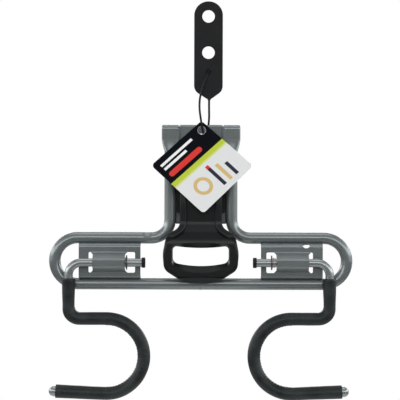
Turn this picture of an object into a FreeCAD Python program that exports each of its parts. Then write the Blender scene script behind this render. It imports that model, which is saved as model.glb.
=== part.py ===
import FreeCAD, Part
import math
import os

# Garage utility hook: a tube bracket that hangs on a wall rail, with a pull latch and two folding hooks.
# Millimetres. X runs to the right, Y into the wall and Z up. The origin is the rail seat: the underside
# of the claws, at the back plane of the bracket, midway between the two legs.

V = FreeCAD.Vector

# Tube frame
tube_radius = 5.5
leg_x = 29.2
leg_bend_radius = 17.5
top_bar_z = -104.8
bottom_bar_z = -148.5
frame_half_width = 138.8
flat_width = 16.6
flat_thickness = 3.0
flat_end_z = -10.8
round_start_z = -22.2
claw_bend_radius = 2.3
throat_depth = 9.6
claw_lip_drop = 8.5
claw_lip_corner = 3.0

# Back plate
plate_thickness = 2.0
plate_weld_gap = 0.1
plate_neck_z = -12.0
plate_shoulder_z = -26.0
plate_bottom_z = -91.5
hang_slot_z = -9.0
hang_slot_length = 14.0
hang_slot_width = 7.0
plate_top_round = 1.6

# Latch
latch_travel = 8.0
latch_gap = 0.3
latch_top_z = -30.0
wing_half_width = 23.3
wing_front_y = -5.2
wing_top_z = -33.0
wing_bottom_z = -81.1
body_half_width = 19.9
body_top_y = -10.5
body_mid_y = -15.0
body_slope_drop = 15.0
body_slope_y = -13.4
body_slope_bend = 20.0
body_level_drop = 42.0
body_level_bend = 30.0
body_foot_bend = 12.0
rib_width = 6.5
rib_height = 3.2
rib_edge_radius = 1.5
rib_turn_z = -97.2
rib_turn_radius = 14.0
rib_fall = 15.2
rib_tip_sink = 0.9
ring_half_width = 36.1
ring_shoulder_inset = 3.6
ring_cheek_inset = 1.2
ring_cheek_drop = 15.8
ring_foot_half_width = 21.2
ring_foot_rise = 3.0
ring_sole_half_width = 8.0
ring_neck_drop = 7.0
ring_root_rise = 6.0
ring_top_z = -101.8
ring_middle_z = -119.0
ring_bottom_z = -146.6
ring_front_y = -18.8
ring_tube_gap = 0.8
ring_edge_radius = 3.0
ring_facet_height = 5.2
ring_facet_depth = 3.4
grip_half_width = 26.5
grip_top_z = -112.2
grip_bottom_z = -128.0
grip_crown = 3.2
grip_sag = 5.4
grip_flare_depth = 4.5
grip_flare_side = 1.0
grip_flare_top = 8.9
grip_flare_low = 8.5
grip_corner_radius = 3.5
grip_foot_radius = 6.0
grip_arc_share = 0.8
thumb_half_width = 21.8
thumb_top_z = -141.6
thumb_end_z = -142.7
thumb_bottom_z = -146.9
thumb_reach = 1.6
thumb_face_height = 1.6
thumb_root = 4.4
tooth_half_width = 14.0
tooth_top_z = -92.5
tooth_height = 5.5
tooth_reach = 6.0

# Latch guides and spring
guide_upper_z = -38.0
guide_lower_z = -79.0
guide_radius = 2.5
guide_slot_clearance = 0.3
guide_head_radius = 4.5
guide_head_thickness = 1.6
guide_depth = 3.4
guide_bore_clearance = 0.05
spring_seat_z = -70.0
spring_length = 26.0
spring_wire = 0.8
spring_mean_radius = 2.3
spring_turns = 8
spring_play = 0.5
seat_reach = 5.8
seat_window_height = 9.0

# Pivot plates
pivot_latch_room = 21.0
pivot_end_inset = 1.35
pivot_sheet = 1.8
pivot_front_y = -13.5
pivot_bend_radius = 3.0
window_inner_inset = 5.1
window_outer_inset = 9.3
window_half_height = 9.75
strap_inner_inset = 9.4
strap_outer_inset = 4.2
strap_slope_deg = 59.0
strap_bend_radius = 1.6
strap_foot_radius = 1.2
strap_foot_lap = 3.0
mouth_flare = 2.2
notch_inset = 2.1
notch_radius = 3.9

# Hooks
rod_radius = 4.0
rod_running_gap = 0.08
pivot_y = -18.0
pivot_z = -128.0
rod_end_overhang = 5.1
hook_leg_offset = 7.7
hook_top_bend_radius = 12.0
hook_low_bend_radius = 10.0
hook_arm_length = 36.1
hook_slide = 1.5
hook_c_z = -216.3
hook_c_radius = 35.4
hook_rise_deg = 2.5
rod_tip_overhang = 18.4
tip_ball_radius = 4.9
sleeve_radius = 6.5
sleeve_bore_gap = 0.05
sleeve_start_z = -143.0
sleeve_tip_inset = 6.6

# Rod retention
clip_inset = 3.1
clip_thickness = 1.0
clip_radius = 7.0
groove_depth = 0.8
clip_opening = 4.4
clip_gap = 0.05
clip_spring_wire = 0.8
clip_spring_gap = 0.1
clip_spring_turns = 1.9
clip_spring_closed_turns = 0.9
cap_length = 3.4
cap_radius = 4.9
cap_wall = 1.2

# Hang tab, its tail and the card tag
tab_x = 6.8
tab_front_y = -3.8
tab_thickness = 1.6
tab_width = 27.3
tab_top_z = 120.5
peg_hole_radius = 6.0
peg_upper_z = 106.2
peg_lower_z = 71.7
lock_hole_z = 53.4
lock_hole_radius = 2.8
tab_shoulder_z = 35.4
tab_shoulder_radius = 9.0
tab_tip_z = 26.1
tab_tip_x = 7.5
tab_tip_half_width = 1.6
tab_neck_rise = 1.2
tab_rib_radius = 1.15
tab_rib_top_z = 36.0
tail_radius = 1.0
barb_radius = 2.6
barb_length = 2.4
tag_left_x = -47.2
tag_left_z = -36.2
tag_foot_x = 2.3
tag_foot_z = -81.4
tag_right_x = 49.4
tag_right_z = -36.2
tag_head_x = 0.3
tag_head_z = 6.5
tag_corner_radius = 3.6
tag_thickness = 0.5
tag_hole_x = 0.6
tag_hole_z = -2.6
tag_hole_radius = 3.8
tag_hole_y = -9.3
tag_lean_deg = 8.4

# Places along the bars: a pivot plate fills the room between the latch's ring and the frame's round end
pivot_outer_x = frame_half_width - (top_bar_z - bottom_bar_z) / 2 - pivot_end_inset
pivot_inner_x = ring_half_width + pivot_latch_room
window_inner_x = pivot_inner_x + window_inner_inset
window_outer_x = pivot_outer_x - window_outer_inset
strap_inner_x = window_inner_x + strap_inner_inset
strap_outer_x = window_outer_x - strap_outer_inset
notch_x = strap_outer_x - notch_inset
hook_leg_x = pivot_outer_x + hook_leg_offset
hook_c_x = hook_leg_x - hook_arm_length
rod_end_x = pivot_inner_x - rod_end_overhang
rod_tip_x = hook_leg_x + rod_tip_overhang
sleeve_end_x = rod_tip_x - sleeve_tip_inset
clip_x = strap_inner_x - clip_inset

# Where the cord tail runs, from the tab's tip round the plate edge, through plate and tag, to the lock hole
tail_route = [
    (7.5, -3.0, 26.1),
    (7.5, -3.0, 17.6),
    (7.7, 1.4, 9.6),
    (6.9, 4.6, 1.2),
    (5.0, 3.2, -7.4),
    (3.2, -4.2, -9.4),
    (1.1, -9.2, -1.3),
    (-0.2, -12.8, 7.4),
    (-1.5, -13.0, 15.9),
    (-1.7, -11.2, 24.4),
    (-0.4, -9.4, 32.8),
    (2.3, -8.3, 41.2),
    (5.3, -7.2, 49.6),
    (7.3, -0.27, 54.96),
]


def arc_corners(corners, closed):
    """Lines and tangent arcs through flat corners, each given as (a, b, radius)."""
    count = len(corners)
    marks = []
    for i in range(count):
        a, b, radius = corners[i]
        here = V(a, b, 0)
        inner = closed or 0 < i < count - 1
        if radius == 0 or not inner:
            marks.append((here, None, here))
            continue
        before = V(corners[i - 1][0], corners[i - 1][1], 0) - here
        after = V(corners[(i + 1) % count][0], corners[(i + 1) % count][1], 0) - here
        before.normalize()
        after.normalize()
        half_angle = before.getAngle(after) / 2
        reach = radius / math.tan(half_angle)
        bisector = before + after
        bisector.normalize()
        centre = here + bisector * (radius / math.sin(half_angle))
        marks.append((here + before * reach, centre - bisector * radius, here + after * reach))
    return marks


def bent_wire(corners, place, closed=True):
    """A wire of straight runs and tangent arcs; place turns flat (a, b) into a point in space."""
    marks = arc_corners(corners, closed)
    edges = []
    for i, (start, middle, end) in enumerate(marks):
        if middle is not None:
            arc = Part.Arc(place(start.x, start.y), place(middle.x, middle.y), place(end.x, end.y))
            edges.append(arc.toShape())
        if i == len(marks) - 1 and not closed:
            break
        following = marks[(i + 1) % len(marks)][0]
        if (following - end).Length > 1e-6:
            edges.append(Part.LineSegment(place(end.x, end.y), place(following.x, following.y)).toShape())
    return Part.Wire(edges)


def sheet_xz(corners, y_low, y_high):
    """A flat piece drawn from the front and thickened along Y."""
    face = Part.Face(bent_wire(corners, lambda a, b: V(a, y_low, b)))
    return face.extrude(V(0, y_high - y_low, 0))


def profile_yz(corners, x_low, x_high):
    """A piece drawn from the side, as (y, z, radius), and run along X."""
    face = Part.Face(bent_wire(corners, lambda a, b: V(x_low, a, b)))
    return face.extrude(V(x_high - x_low, 0, 0))


def block(x_low, x_high, y_low, y_high, z_low, z_high):
    return Part.makeBox(x_high - x_low, y_high - y_low, z_high - z_low, V(x_low, y_low, z_low))


def rod_x(radius, x_low, x_high, y, z):
    return Part.makeCylinder(radius, x_high - x_low, V(x_low, y, z), V(1, 0, 0))


def rod_y(radius, y_low, y_high, x, z):
    return Part.makeCylinder(radius, y_high - y_low, V(x, y_low, z), V(0, 1, 0))


def round_bar(path, radius):
    """A round section carried along a path of lines and arcs."""
    first = path.OrderedEdges[0]
    start = first.valueAt(first.FirstParameter)
    along = first.tangentAt(first.FirstParameter)
    section = Part.Wire([Part.Circle(start, along, radius).toShape()])
    return path.makePipe(Part.Face(section))


def rounded_at(shape, y, radius):
    """Rounds every edge that lies level at the given depth."""
    edges = [edge for edge in shape.Edges
             if abs(edge.BoundBox.YMin - y) < 1e-3 and abs(edge.BoundBox.YMax - y) < 1e-3]
    return shape.makeFillet(radius, edges)


def mirrored_corners(right_half):
    """Corners down the right side, top to bottom, completed with the left side."""
    left_half = [(-a, b, radius) for a, b, radius in reversed(right_half)]
    return right_half + left_half


def slot_corners(x, z, half_width, z_low, z_high):
    return [(x - half_width, z_low, half_width), (x + half_width, z_low, half_width),
            (x + half_width, z_high, half_width), (x - half_width, z_high, half_width)]


def on_the_left(shape):
    return shape.mirror(V(0, 0, 0), V(1, 0, 0))


def tube_section(x, y, z, half_width, half_depth, corner_x, corner_y):
    """One level cross-section of the tube as it goes from round to flat, as four edges."""
    corners = [V(x + corner_x, y - corner_y, z), V(x + corner_x, y + corner_y, z),
               V(x - corner_x, y + corner_y, z), V(x - corner_x, y - corner_y, z)]
    crowns = [V(x + half_width, y, z), V(x, y + half_depth, z),
              V(x - half_width, y, z), V(x, y - half_depth, z)]
    edges = []
    for i in range(4):
        start = corners[i]
        end = corners[(i + 1) % 4]
        flat = i % 2 == 1 and abs(corner_y - half_depth) < 1e-6
        if flat:
            edges.append(Part.LineSegment(start, end).toShape())
        else:
            edges.append(Part.Arc(start, crowns[i], end).toShape())
    return Part.Wire(edges)


def tube_frame():
    """The bent tube, with its two ends pressed flat and turned over as claws."""
    end_bend = (top_bar_z - bottom_bar_z) / 2
    right = [(leg_x, round_start_z, 0), (leg_x, top_bar_z, leg_bend_radius),
             (frame_half_width, top_bar_z, end_bend), (frame_half_width, bottom_bar_z, end_bend)]
    route = [(-a, b, radius) for a, b, radius in right] + list(reversed(right))
    path = bent_wire(route, lambda a, b: V(a, -tube_radius, b), closed=False)
    frame = round_bar(path, tube_radius)

    half_flat = flat_width / 2
    half_thick = flat_thickness / 2
    diagonal = tube_radius * math.sqrt(0.5)
    middle_z = (flat_end_z + round_start_z) / 2
    middle_half = (half_flat + tube_radius) / 2 + 0.4
    middle_thick = (half_thick + tube_radius) / 2 - 0.3
    for side in (-1, 1):
        x = side * leg_x
        flat_edge = half_flat - half_thick
        sections = [
            tube_section(x, -tube_radius, round_start_z, tube_radius, tube_radius, diagonal, diagonal),
            tube_section(x, -middle_thick, middle_z, middle_half, middle_thick,
                         middle_half * 0.76, middle_thick * 0.78),
            tube_section(x, -half_thick, flat_end_z, half_flat, half_thick, flat_edge, half_thick)]
        pressed = Part.makeLoft(sections, True, False)
        claw_centre_y = throat_depth + half_thick
        strip = [(-half_thick, flat_end_z, 0), (-half_thick, half_thick, claw_bend_radius),
                 (claw_centre_y, half_thick, claw_bend_radius), (claw_centre_y, -claw_lip_drop, 0)]
        strip_path = bent_wire(strip, lambda a, b: V(x, a, b), closed=False)
        claw = strip_path.makePipe(Part.Face(sections[2]))
        frame = frame.fuse([pressed, claw.cut(lip_corners(x))])
    return frame.removeSplitter()


def lip_corners(x):
    """What is cropped from the lower corners of a claw's lip."""
    half = flat_width / 2 + 0.1
    tongue = [(x - half, -claw_lip_drop, claw_lip_corner), (x + half, -claw_lip_drop, claw_lip_corner),
              (x + half, 0, 0), (x - half, 0, 0)]
    front = throat_depth / 2
    rear = throat_depth + flat_thickness + 1
    stock = block(x - half, x + half, front, rear, -claw_lip_drop - 1, -claw_lip_drop + claw_lip_corner)
    return stock.cut(sheet_xz(tongue, front, rear))


def back_plate():
    """The stamped plate welded between the legs."""
    neck = leg_x - flat_width / 2 - plate_weld_gap
    depth = tube_radius - plate_thickness
    shoulder = leg_x - math.sqrt(tube_radius ** 2 - depth ** 2) - plate_weld_gap
    outline = mirrored_corners([(neck, flat_thickness, 1.5), (neck, plate_neck_z, 3.0),
                                (shoulder, plate_shoulder_z, 3.0), (shoulder, plate_bottom_z, 1.5)])
    plate = sheet_xz(outline, -plate_thickness, 0)

    half_slot = hang_slot_width / 2
    reach = hang_slot_length / 2
    hang_slot = [(-reach, hang_slot_z - half_slot, half_slot), (reach, hang_slot_z - half_slot, half_slot),
                 (reach, hang_slot_z + half_slot, half_slot), (-reach, hang_slot_z + half_slot, half_slot)]
    cuts = [sheet_xz(hang_slot, -plate_thickness - 1, 1)]
    slot_half = guide_radius + guide_slot_clearance
    for guide_z in (guide_upper_z, guide_lower_z):
        slot = slot_corners(0, guide_z, slot_half, guide_z - latch_travel - slot_half, guide_z + slot_half)
        cuts.append(sheet_xz(slot, -plate_thickness - 1, 1))
    seat_half = spring_mean_radius + spring_wire / 2 + 0.2
    window = [(-seat_half - 0.5, spring_seat_z, 0.5), (seat_half + 0.5, spring_seat_z, 0.5),
              (seat_half + 0.5, spring_seat_z + seat_window_height, 0.5),
              (-seat_half - 0.5, spring_seat_z + seat_window_height, 0.5)]
    cuts.append(sheet_xz(window, -plate_thickness - 1, 1))
    plate = plate.cut(cuts)

    seat = block(-seat_half, seat_half, -plate_thickness - seat_reach, 0,
                 spring_seat_z - plate_thickness, spring_seat_z)
    top_edge = [edge for edge in plate.Edges if edge.BoundBox.ZMin > flat_thickness - 0.01
                and edge.BoundBox.YMax < -plate_thickness + 0.01]
    return plate.makeFillet(plate_top_round, top_edge).fuse(seat).removeSplitter()


def spring_axis_y():
    return -plate_thickness - latch_gap - spring_play / 2 - spring_mean_radius - spring_wire / 2


def ring_rear_y():
    return -2 * tube_radius - ring_tube_gap


def latch_body():
    """The upper part of the latch: the wings that lie between the legs and the slab between the ribs."""
    rear = -plate_thickness - latch_gap
    wings = sheet_xz([(-wing_half_width, wing_bottom_z, 2.0), (wing_half_width, wing_bottom_z, 2.0),
                      (wing_half_width, wing_top_z, 5.0), (-wing_half_width, wing_top_z, 5.0)],
                     wing_front_y, rear)
    heel_z = tooth_top_z - tooth_height
    neck_z = ring_top_z - ring_neck_drop
    floor = [(rear, latch_top_z, 0.8), (body_top_y + rib_height, latch_top_z, 2.0),
             (body_slope_y + rib_height, latch_top_z - body_slope_drop, body_slope_bend),
             (body_mid_y + rib_height, latch_top_z - body_level_drop, body_level_bend),
             (body_mid_y + rib_height, tooth_top_z + 2, body_foot_bend),
             (ring_front_y + 1.2, neck_z, 3.0),
             (ring_rear_y(), neck_z, 0), (ring_rear_y(), ring_top_z, 4.0), (rear, heel_z, 1.0)]
    slab = profile_yz(floor, -body_half_width, body_half_width)
    tooth = profile_yz([(wing_front_y, tooth_top_z, 0), (wing_front_y, heel_z, 0), (rear, heel_z, 0),
                        (tooth_reach, heel_z + tooth_height * 0.55, 0.8), (tooth_reach, tooth_top_z, 0.8)],
                       -tooth_half_width, tooth_half_width)
    return wings.fuse([slab, tooth])


def latch_side():
    """Corners down the latch's right-hand side: body, shoulder and ring."""
    return [(body_half_width, latch_top_z, 0), (body_half_width, tooth_top_z - 2, 9.0),
            (ring_half_width - ring_shoulder_inset, ring_top_z, 6.0),
            (ring_half_width, ring_middle_z, 30.0),
            (ring_half_width - ring_cheek_inset, ring_middle_z - ring_cheek_drop, 10.0),
            (ring_foot_half_width, ring_bottom_z + ring_foot_rise, 12.0),
            (ring_sole_half_width, ring_bottom_z, 20.0)]


def grip_wire(y, side, top, low):
    """The finger opening at a depth, grown sideways by side, with its top and its foot bowed outwards."""
    half = grip_half_width + side
    upper_z = grip_top_z + side / 2
    lower_z = grip_bottom_z - low / 3
    bow = grip_arc_share * half ** 2
    crown_z = grip_top_z - grip_crown + top
    foot_z = grip_bottom_z - grip_sag - low
    low_radius = grip_foot_radius + side
    corners = [(half, upper_z, grip_corner_radius), (half, lower_z, low_radius),
               (0, foot_z, bow / (lower_z - foot_z)), (-half, lower_z, low_radius),
               (-half, upper_z, grip_corner_radius), (0, crown_z, bow / abs(crown_z - upper_z))]
    return bent_wire(corners, lambda a, b: V(a, y, b))


def thumb_lip():
    """The lens-shaped lip under the opening that a thumb pushes on."""
    right = V(thumb_half_width, ring_front_y - thumb_reach - 1, thumb_end_z)
    left = V(-thumb_half_width, right.y, thumb_end_z)
    upper = Part.Arc(left, V(0, right.y, thumb_top_z), right)
    lower = Part.Arc(right, V(0, right.y, thumb_bottom_z), left)
    lens = Part.Face(Part.Wire([upper.toShape(), lower.toShape()])).extrude(V(0, thumb_reach + thumb_root, 0))
    lip_y = ring_front_y - thumb_reach
    side = [(ring_front_y + 3, thumb_top_z + 1, 0), (lip_y, thumb_top_z + 1, 0),
            (lip_y, thumb_top_z + 1 - thumb_face_height, 0), (ring_front_y + 1, thumb_bottom_z, 1.0),
            (ring_front_y + 3, thumb_bottom_z, 0)]
    return lens.common(profile_yz(side, -thumb_half_width - 1, thumb_half_width + 1))


def finger_ring():
    """The D-shaped ring in front of the tubes, with rounded edges, a flared opening and a thumb lip."""
    stock = sheet_xz(mirrored_corners(latch_side()), ring_front_y, ring_rear_y())
    ring = rounded_at(stock, ring_front_y, ring_edge_radius)
    root_z = tooth_top_z + ring_root_rise
    side = [(ring_rear_y(), root_z, 0), (body_mid_y + rib_height, root_z, 0),
            (body_mid_y + rib_height, tooth_top_z - 1, 6.0), (ring_front_y, ring_top_z - 6, 14.0),
            (ring_front_y, ring_bottom_z + ring_facet_height, 0),
            (ring_rear_y() - ring_facet_depth, ring_bottom_z - 1, 0),
            (ring_rear_y(), ring_bottom_z - 1, 0)]
    ring = ring.common(profile_yz(side, -ring_half_width - 1, ring_half_width + 1))
    flare_end_y = ring_front_y + grip_flare_depth
    flare = Part.makeLoft([grip_wire(ring_front_y, grip_flare_side, grip_flare_top, grip_flare_low),
                           grip_wire(flare_end_y, 0, 0, 0)], True, True)
    through = V(0, ring_rear_y() - ring_front_y + 2, 0)
    opening = Part.Face(grip_wire(ring_front_y - 1, 0, 0, 0)).extrude(through)
    return ring.fuse(thumb_lip()).cut([flare, opening])


def side_rib():
    """The right-hand rib: down the body's edge, then out over the ring's shoulder."""
    inner = body_half_width - rib_width
    past = ring_half_width + 1
    strip = [(inner, latch_top_z, 0), (past, latch_top_z, 0), (past, rib_turn_z - rib_fall, 0),
             (inner, rib_turn_z, rib_turn_radius)]
    tip_z = rib_turn_z - rib_fall - 1
    side = [(wing_front_y, latch_top_z, 0), (body_top_y, latch_top_z, 0),
            (body_slope_y, latch_top_z - body_slope_drop, body_slope_bend),
            (body_mid_y, latch_top_z - body_level_drop, body_level_bend),
            (body_mid_y, tooth_top_z + 2, body_foot_bend), (ring_front_y - 0.9, ring_top_z - 1.2, 5.0),
            (ring_front_y + rib_tip_sink, tip_z, 0), (ring_rear_y(), tip_z, 0),
            (ring_rear_y(), ring_top_z, 0), (wing_front_y, tooth_top_z + 1, 0)]
    outline = sheet_xz(mirrored_corners(latch_side()), ring_front_y - 4, wing_front_y)
    rib = outline.common(sheet_xz(strip, ring_front_y - 5, wing_front_y + 1))
    rib = rib.common(profile_yz(side, 0, ring_half_width + 1))
    edges = []
    for edge in rib.Edges:
        box = edge.BoundBox
        straight_across = box.XLength > 0.99 * edge.Length
        straight_back = box.YLength > 0.99 * edge.Length
        if box.YMax < ring_rear_y() - 0.1 and not straight_across and not straight_back:
            edges.append(edge)
    return rib.makeFillet(rib_edge_radius, edges)


def latch_handle():
    """The whole black moulding, with its spring pocket and guide bores cut in the back."""
    rib = side_rib()
    latch = latch_body().fuse([finger_ring(), rib, on_the_left(rib)])
    rear = -plate_thickness - latch_gap
    pocket_half = spring_mean_radius + spring_wire / 2 + spring_play
    pocket_bottom = spring_seat_z - plate_thickness - 1.5
    pocket = block(-pocket_half, pocket_half, spring_axis_y() - pocket_half, rear + 1,
                   pocket_bottom, spring_seat_z + spring_length + latch_gap / 3)
    cuts = [pocket]
    for guide_z in (guide_upper_z, guide_lower_z):
        cuts.append(rod_y(guide_radius + guide_bore_clearance, rear - guide_depth, rear + 1, 0, guide_z))
    return latch.cut(cuts).removeSplitter()


def latch_guides():
    """Two headed pins fixed in the latch, running in the plate's slots."""
    rear = -plate_thickness - latch_gap
    pins = []
    for guide_z in (guide_upper_z, guide_lower_z):
        shank = rod_y(guide_radius, rear - guide_depth, latch_gap, 0, guide_z)
        head = rod_y(guide_head_radius, latch_gap, latch_gap + guide_head_thickness, 0, guide_z)
        head = head.makeFillet(0.7, [edge for edge in head.Edges if edge.CenterOfMass.y > latch_gap + 1.0
                                     and len(edge.Vertexes) == 1])
        pins.append(shank.fuse(head))
    return Part.makeCompound(pins)


def coil(length, turns, mean_radius, wire, start, along):
    """A coil spring of round wire, standing on start and running along a direction."""
    pitch = (length - wire) / turns
    helix = Part.makeHelix(pitch, length - wire, mean_radius)
    helix.translate(V(0, 0, wire / 2))
    section = Part.Wire([Part.Circle(V(mean_radius, 0, wire / 2), V(0, 1, 0), wire / 2).toShape()])
    spring = Part.Wire(helix.Edges).makePipeShell([section], True, True)
    spring.Placement = FreeCAD.Placement(start, FreeCAD.Rotation(V(0, 0, 1), along))
    return spring


def latch_spring():
    return coil(spring_length, spring_turns, spring_mean_radius, spring_wire,
                V(0, spring_axis_y(), spring_seat_z), V(0, 0, 1))


def strap_profile():
    """The lanced strap from the side: a flat crown and two slopes, lapped onto the web."""
    slope = math.radians(strap_slope_deg)
    inner = rod_radius + rod_running_gap
    outer = inner + pivot_sheet
    web_depth = pivot_y - pivot_front_y

    def height_at(forward, offset):
        return (offset - forward * math.cos(slope)) / math.sin(slope)

    outer_crown = height_at(outer, outer)
    inner_crown = height_at(inner, inner)
    outer_foot = height_at(web_depth, outer)
    inner_foot = height_at(web_depth - pivot_sheet, inner)
    lap = outer_foot + strap_foot_lap
    back = pivot_front_y + pivot_sheet
    half = [(pivot_y - outer, outer_crown, strap_bend_radius),
            (pivot_front_y, outer_foot, strap_foot_radius), (pivot_front_y, lap, 0),
            (back, lap, 0), (back, inner_foot, 0), (pivot_y - inner, inner_crown, 0.5)]
    upper = [(y, pivot_z + up, radius) for y, up, radius in half]
    lower = [(y, pivot_z - up, radius) for y, up, radius in reversed(half)]
    return upper + lower


def mouth_outline(strap_end_x, window_end_x):
    """The opening between one end of the strap and the end of its window, widest away from the strap."""
    toward = math.copysign(mouth_flare, window_end_x - strap_end_x)
    upper = [(strap_end_x, window_half_height - mouth_flare, 1.5),
             (strap_end_x + toward, window_half_height, 1.0), (window_end_x, window_half_height, 1.5)]
    corners = [(x, pivot_z + up, radius) for x, up, radius in upper]
    return corners + [(x, pivot_z - up, radius) for x, up, radius in reversed(upper)]


def pivot_plate(notched):
    """The right-hand pivot plate: a shallow channel with a window, a lanced strap and perhaps a notch."""
    top = top_bar_z - tube_radius
    low = bottom_bar_z + tube_radius
    back = pivot_front_y + pivot_sheet
    inside = pivot_bend_radius - pivot_sheet
    channel = [(-tube_radius, top, 0), (pivot_front_y, top, pivot_bend_radius),
               (pivot_front_y, low, pivot_bend_radius), (-tube_radius, low, 0),
               (-tube_radius, low + pivot_sheet, 0), (back, low + pivot_sheet, inside),
               (back, top - pivot_sheet, inside), (-tube_radius, top - pivot_sheet, 0)]
    plate = profile_yz(channel, pivot_inner_x, pivot_outer_x)
    window = [(window_inner_x, pivot_z - window_half_height, 1.5),
              (window_outer_x, pivot_z - window_half_height, 1.5),
              (window_outer_x, pivot_z + window_half_height, 1.5),
              (window_inner_x, pivot_z + window_half_height, 1.5)]
    plate = plate.cut(sheet_xz(window, pivot_front_y - 1, back + 1))
    strap = profile_yz(strap_profile(), strap_inner_x - mouth_flare, strap_outer_x + mouth_flare)
    strap_front_y = pivot_y - rod_radius - rod_running_gap - pivot_sheet
    cuts = [sheet_xz(mouth_outline(strap_inner_x, window_inner_x), strap_front_y - 1, back + 1),
            sheet_xz(mouth_outline(strap_outer_x, window_outer_x), strap_front_y - 1, back + 1)]
    if notched:
        cuts.append(rod_y(notch_radius, pivot_front_y - 1, -tube_radius + 1, notch_x, top))
    return plate.fuse(strap).cut(cuts).removeSplitter()


def hook_route(start, end_x):
    """Corners of the hook's centreline from a start point to a place along the lower arm."""
    turn = math.radians(90 + hook_rise_deg)
    arm_z = hook_c_z + hook_c_radius
    inner_x = hook_c_x - hook_c_radius
    low_z = hook_c_z - hook_c_radius * math.tan(turn / 2)
    end_z = low_z + (end_x - inner_x) * math.tan(math.radians(hook_rise_deg))
    return [start, (hook_leg_x, arm_z, hook_low_bend_radius), (inner_x, arm_z, hook_c_radius),
            (inner_x, low_z, hook_c_radius), (end_x, end_z, 0)]


def on_hook_plane(a, b):
    return V(a, pivot_y, b)


def hook_rod():
    """The right-hand rod: pivot shank, leg and C-shaped hook, with a groove and a rounded tip."""
    route = hook_route((hook_leg_x, pivot_z, hook_top_bend_radius), rod_tip_x - tip_ball_radius)
    route = [(rod_end_x, pivot_z, 0)] + route
    rod = round_bar(bent_wire(route, on_hook_plane, closed=False), rod_radius)
    rise = math.radians(hook_rise_deg)
    outward = V(math.cos(rise), 0, math.sin(rise))
    centre = V(route[-1][0], pivot_y, route[-1][1])
    collar = route[-1][0] - sleeve_end_x - latch_gap
    dome = Part.makeSphere(tip_ball_radius, centre, outward, 0, 90)
    button = dome.fuse(Part.makeCylinder(tip_ball_radius, collar, centre - outward * collar, outward))
    half_groove = clip_thickness / 2 + clip_gap
    groove = rod_x(rod_radius + 1, clip_x - half_groove, clip_x + half_groove, pivot_y, pivot_z)
    core = rod_x(rod_radius - groove_depth, clip_x - clip_thickness, clip_x + clip_thickness,
                 pivot_y, pivot_z)
    return rod.fuse(button).cut(groove.cut(core))


def sleeve():
    """The right-hand foam sleeve, from below the pivot plate to short of the rod's tip."""
    route = hook_route((hook_leg_x, sleeve_start_z, 0), sleeve_end_x)
    path = bent_wire(route, on_hook_plane, closed=False)
    return round_bar(path, sleeve_radius).cut(round_bar(path, rod_radius + sleeve_bore_gap))


def retaining_clip():
    """An open spring clip, standing in the rod's groove."""
    low = clip_x - clip_thickness / 2
    high = clip_x + clip_thickness / 2
    disc = rod_x(clip_radius, low, high, pivot_y, pivot_z)
    bore = rod_x(rod_radius - groove_depth + clip_gap, low - 1, high + 1, pivot_y, pivot_z)
    mouth = block(low - 1, high + 1, pivot_y - clip_opening / 2, pivot_y + clip_opening / 2,
                  pivot_z - clip_radius - 1, pivot_z)
    return disc.cut([bore, mouth])


def clip_spring(slide, turns):
    """The short coil spring between the strap's inner mouth and a clip that has slid outwards by slide."""
    start = clip_x + clip_thickness / 2 + slide
    mean_radius = rod_radius + clip_gap * 4 + clip_spring_wire / 2
    return coil(strap_inner_x - clip_spring_gap - start, turns, mean_radius, clip_spring_wire,
                V(start, pivot_y, pivot_z), V(1, 0, 0))


def end_cap():
    """The black push-on cap over the rod's inner end."""
    low = rod_end_x - cap_wall
    cap = rod_x(cap_radius, low, low + cap_length, pivot_y, pivot_z)
    cap = cap.makeFillet(0.8, [edge for edge in cap.Edges if edge.CenterOfMass.x < low + 0.1
                               and len(edge.Vertexes) == 1])
    return cap.cut(rod_x(rod_radius, rod_end_x, rod_end_x + cap_length, pivot_y, pivot_z))


def hang_tab():
    """The display tab: round top, two peg holes, a lock hole, round shoulders and a rib into the tip."""
    half = tab_width / 2
    right = [(tab_x + half, tab_top_z, half - 0.2), (tab_x + half, tab_shoulder_z, tab_shoulder_radius),
             (tab_tip_x + tab_tip_half_width, tab_tip_z + tab_neck_rise, 1.5),
             (tab_tip_x + tail_radius, tab_tip_z, 0)]
    left = [(tab_tip_x - tail_radius, tab_tip_z, 0),
            (tab_tip_x - tab_tip_half_width, tab_tip_z + tab_neck_rise, 1.5),
            (tab_x - half, tab_shoulder_z, tab_shoulder_radius), (tab_x - half, tab_top_z, half - 0.2)]
    tab = sheet_xz(right + left, tab_front_y, tab_front_y + tab_thickness)
    middle_y = tab_front_y + tab_thickness / 2
    rib = Part.makeCylinder(tab_rib_radius, tab_rib_top_z - tab_tip_z, V(tab_tip_x, middle_y, tab_tip_z))
    rib_end = Part.makeSphere(tab_rib_radius, V(tab_tip_x, middle_y, tab_rib_top_z))
    holes = []
    for radius, z in ((peg_hole_radius, peg_upper_z), (peg_hole_radius, peg_lower_z),
                      (lock_hole_radius, lock_hole_z)):
        holes.append(rod_y(radius, tab_front_y - 1, tab_front_y + tab_thickness + 1, tab_x, z))
    return tab.fuse([rib, rib_end]).cut(holes).removeSplitter()


def cord_radii(route):
    """The arc radius at each inner point: 0.45 of the shorter run over the tangent of half the turn."""
    radii = []
    for i in range(1, len(route) - 1):
        before = V(*route[i]) - V(*route[i - 1])
        after = V(*route[i + 1]) - V(*route[i])
        half_turn = before.getAngle(after) / 2
        radii.append(0.45 * min(before.Length, after.Length) / math.tan(half_turn))
    return radii


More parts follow.
